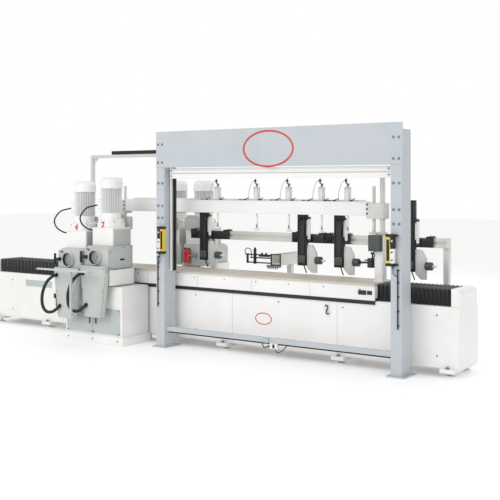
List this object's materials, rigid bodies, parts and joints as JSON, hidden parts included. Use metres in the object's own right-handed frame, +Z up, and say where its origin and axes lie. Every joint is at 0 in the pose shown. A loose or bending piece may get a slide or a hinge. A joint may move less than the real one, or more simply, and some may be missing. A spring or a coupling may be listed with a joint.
{
  "type": "dowel joiner",
  "caption": "Stationary boring and dowelling machine: travelling clamp table on a long bed, vertical-motor drilling units, a portal guard frame and a rear stop rail.",
  "frame": {"origin": "on the floor under the middle of the bed", "axes": "+X along the bed towards the loading end, +Y from the operator side to the rear, +Z up"},
  "size_m": [6.77, 2.18, 2.497],
  "materials": {
    "white_paint": "satin enamel",
    "blue_gray_paint": "satin enamel",
    "light_gray_paint": "satin enamel",
    "gray_paint": "hammered enamel",
    "yellow_paint": "gloss",
    "ground_steel": "ground",
    "zinc_steel": "zinc plated",
    "cast_iron": "machined",
    "beige_table": "satin",
    "anodised_aluminium": "anodised",
    "black_steel": "black satin",
    "black_plastic": "moulded",
    "guide_plastic": "moulded",
    "black_pvc": "smooth",
    "bellows_fabric": "coated",
    "amber_plastic": "moulded"
  },
  "bodies": {
    "frame": {"bed_body": "white_paint", "bed_feet": "white_paint", "guide_rails": "ground_steel", "portal_posts": "blue_gray_paint", "header_panel": "blue_gray_paint", "lower_crossbar": "blue_gray_paint", "guard_guides": "guide_plastic", "light_barriers": "yellow_paint", "post_cables": "black_pvc", "portal_bolts": "zinc_steel", "station_bases": "white_paint", "chain_pole": "light_gray_paint", "cable_chain": "black_plastic", "stop_rail": "anodised_aluminium", "support_arms": "anodised_aluminium", "service_unit": "amber_plastic", "tray_bar": "light_gray_paint", "bellows_left": "bellows_fabric", "bellows_right": "bellows_fabric"},
    "table": {"table_frame": "cast_iron", "table_top_plate": "beige_table", "table_panels": "white_paint", "table_runners": "ground_steel", "bridge_columns": "white_paint", "end_stop": "black_steel"},
    "bridge": {"bridge_beam": "white_paint", "clamp_cylinders": "light_gray_paint"},
    "clamps": {"clamp_rods": "ground_steel"},
    "guard": {"guard_bar": "white_paint"},
    "cross_slide_2": {"saddle_2": "white_paint"},
    "unit_2": {"head_2": "gray_paint", "lower_cover_2": "gray_paint", "motor_2": "white_paint", "cowl_2": "white_paint", "motor_cable_2": "black_pvc", "suction_hose_2": "black_pvc"},
    "motor_shaft_2": {"rotor_2": "ground_steel"},
    "drill_spindle_2": {"spindle_2": "ground_steel"},
    "cross_slide_4": {"saddle_4": "white_paint"},
    "unit_4": {"head_4": "gray_paint", "lower_cover_4": "gray_paint", "motor_4": "white_paint", "cowl_4": "white_paint", "motor_cable_4": "black_pvc", "suction_hose_4": "black_pvc"},
    "motor_shaft_4": {"rotor_4": "ground_steel"},
    "drill_spindle_4": {"spindle_4": "ground_steel"},
    "rear_cross_slide": {"rear_saddle": "white_paint"},
    "rear_units": {"rear_heads": "gray_paint", "rear_motors": "white_paint"},
    "drill_spindle_1": {"spindle_1": "ground_steel"},
    "drill_spindle_3": {"spindle_3": "ground_steel"},
    "rail_carriage_1": {"carriage_1": "black_steel"},
    "rail_slide_1": {"slide_1": "black_steel"},
    "rail_carriage_2": {"carriage_2": "black_steel"},
    "rail_slide_2": {"slide_2": "black_steel"},
    "rail_carriage_3": {"carriage_3": "black_steel"},
    "rail_slide_3": {"slide_3": "black_steel"},
    "rail_carriage_4": {"carriage_4": "black_steel"},
    "rail_slide_4": {"slide_4": "black_steel"}
  },
  "joints": [
    {"name": "table_travel", "type": "slide", "parent": "frame", "child": "table", "axis": [1, 0, 0], "range_m": [-1.25, 0.5], "deforming": ["bellows_left", "bellows_right"]},
    {"name": "bridge_lift", "type": "slide", "parent": "table", "child": "bridge", "axis": [0, 0, 1], "range_m": [-0.12, 0.15]},
    {"name": "clamp_stroke", "type": "slide", "parent": "bridge", "child": "clamps", "axis": [0, 0, -1], "range_m": [0, 0.1]},
    {"name": "guard_drop", "type": "slide", "parent": "frame", "child": "guard", "axis": [0, 0, -1], "range_m": [0, 1.05]},
    {"name": "unit_2_feed", "type": "slide", "parent": "frame", "child": "cross_slide_2", "axis": [0, 1, 0], "range_m": [0, 0.05]},
    {"name": "unit_2_lift", "type": "slide", "parent": "cross_slide_2", "child": "unit_2", "axis": [0, 0, 1], "range_m": [-0.05, 0.08]},
    {"name": "motor_2_spin", "type": "hinge", "parent": "unit_2", "child": "motor_shaft_2", "pos_m": [-0.88, -0.566, 1.5], "axis": [0, 0, 1], "continuous": true},
    {"name": "spindle_2_spin", "type": "hinge", "parent": "unit_2", "child": "drill_spindle_2", "pos_m": [-0.88, -0.566, 1.03], "axis": [0, 1, 0], "continuous": true},
    {"name": "unit_4_feed", "type": "slide", "parent": "frame", "child": "cross_slide_4", "axis": [0, 1, 0], "range_m": [0, 0.05]},
    {"name": "unit_4_lift", "type": "slide", "parent": "cross_slide_4", "child": "unit_4", "axis": [0, 0, 1], "range_m": [-0.005, 0.125]},
    {"name": "motor_4_spin", "type": "hinge", "parent": "unit_4", "child": "motor_shaft_4", "pos_m": [-1.32, -0.566, 1.455], "axis": [0, 0, 1], "continuous": true},
    {"name": "spindle_4_spin", "type": "hinge", "parent": "unit_4", "child": "drill_spindle_4", "pos_m": [-1.32, -0.566, 0.985], "axis": [0, 1, 0], "continuous": true},
    {"name": "rear_feed", "type": "slide", "parent": "frame", "child": "rear_cross_slide", "axis": [0, -1, 0], "range_m": [0, 0.06]},
    {"name": "rear_lift", "type": "slide", "parent": "rear_cross_slide", "child": "rear_units", "axis": [0, 0, 1], "range_m": [-0.015, 0.11]},
    {"name": "spindle_1_spin", "type": "hinge", "parent": "rear_units", "child": "drill_spindle_1", "pos_m": [-0.45, 0.7, 0.995], "axis": [0, 1, 0], "continuous": true},
    {"name": "spindle_3_spin", "type": "hinge", "parent": "rear_units", "child": "drill_spindle_3", "pos_m": [-0.89, 0.7, 0.995], "axis": [0, 1, 0], "continuous": true},
    {"name": "carriage_1_slide", "type": "slide", "parent": "frame", "child": "rail_carriage_1", "axis": [1, 0, 0], "range_m": [0, 0.3]},
    {"name": "slide_1_lift", "type": "slide", "parent": "rail_carriage_1", "child": "rail_slide_1", "axis": [0, 0, 1], "range_m": [0, 0.2]},
    {"name": "carriage_2_slide", "type": "slide", "parent": "frame", "child": "rail_carriage_2", "axis": [1, 0, 0], "range_m": [-0.3, 0]},
    {"name": "slide_2_lift", "type": "slide", "parent": "rail_carriage_2", "child": "rail_slide_2", "axis": [0, 0, 1], "range_m": [0, 0.2]},
    {"name": "carriage_3_slide", "type": "slide", "parent": "frame", "child": "rail_carriage_3", "axis": [1, 0, 0], "range_m": [0, 0.25]},
    {"name": "slide_3_lift", "type": "slide", "parent": "rail_carriage_3", "child": "rail_slide_3", "axis": [0, 0, 1], "range_m": [0, 0.2]},
    {"name": "carriage_4_slide", "type": "slide", "parent": "frame", "child": "rail_carriage_4", "axis": [1, 0, 0], "range_m": [-0.15, 0.03]},
    {"name": "slide_4_lift", "type": "slide", "parent": "rail_carriage_4", "child": "rail_slide_4", "axis": [0, 0, 1], "range_m": [0, 0.2]}
  ],
  "couplings": [
    {"joint": "spindle_2_spin", "follows": "motor_2_spin", "ratio": -1},
    {"joint": "spindle_4_spin", "follows": "motor_4_spin", "ratio": -1}
  ]
}
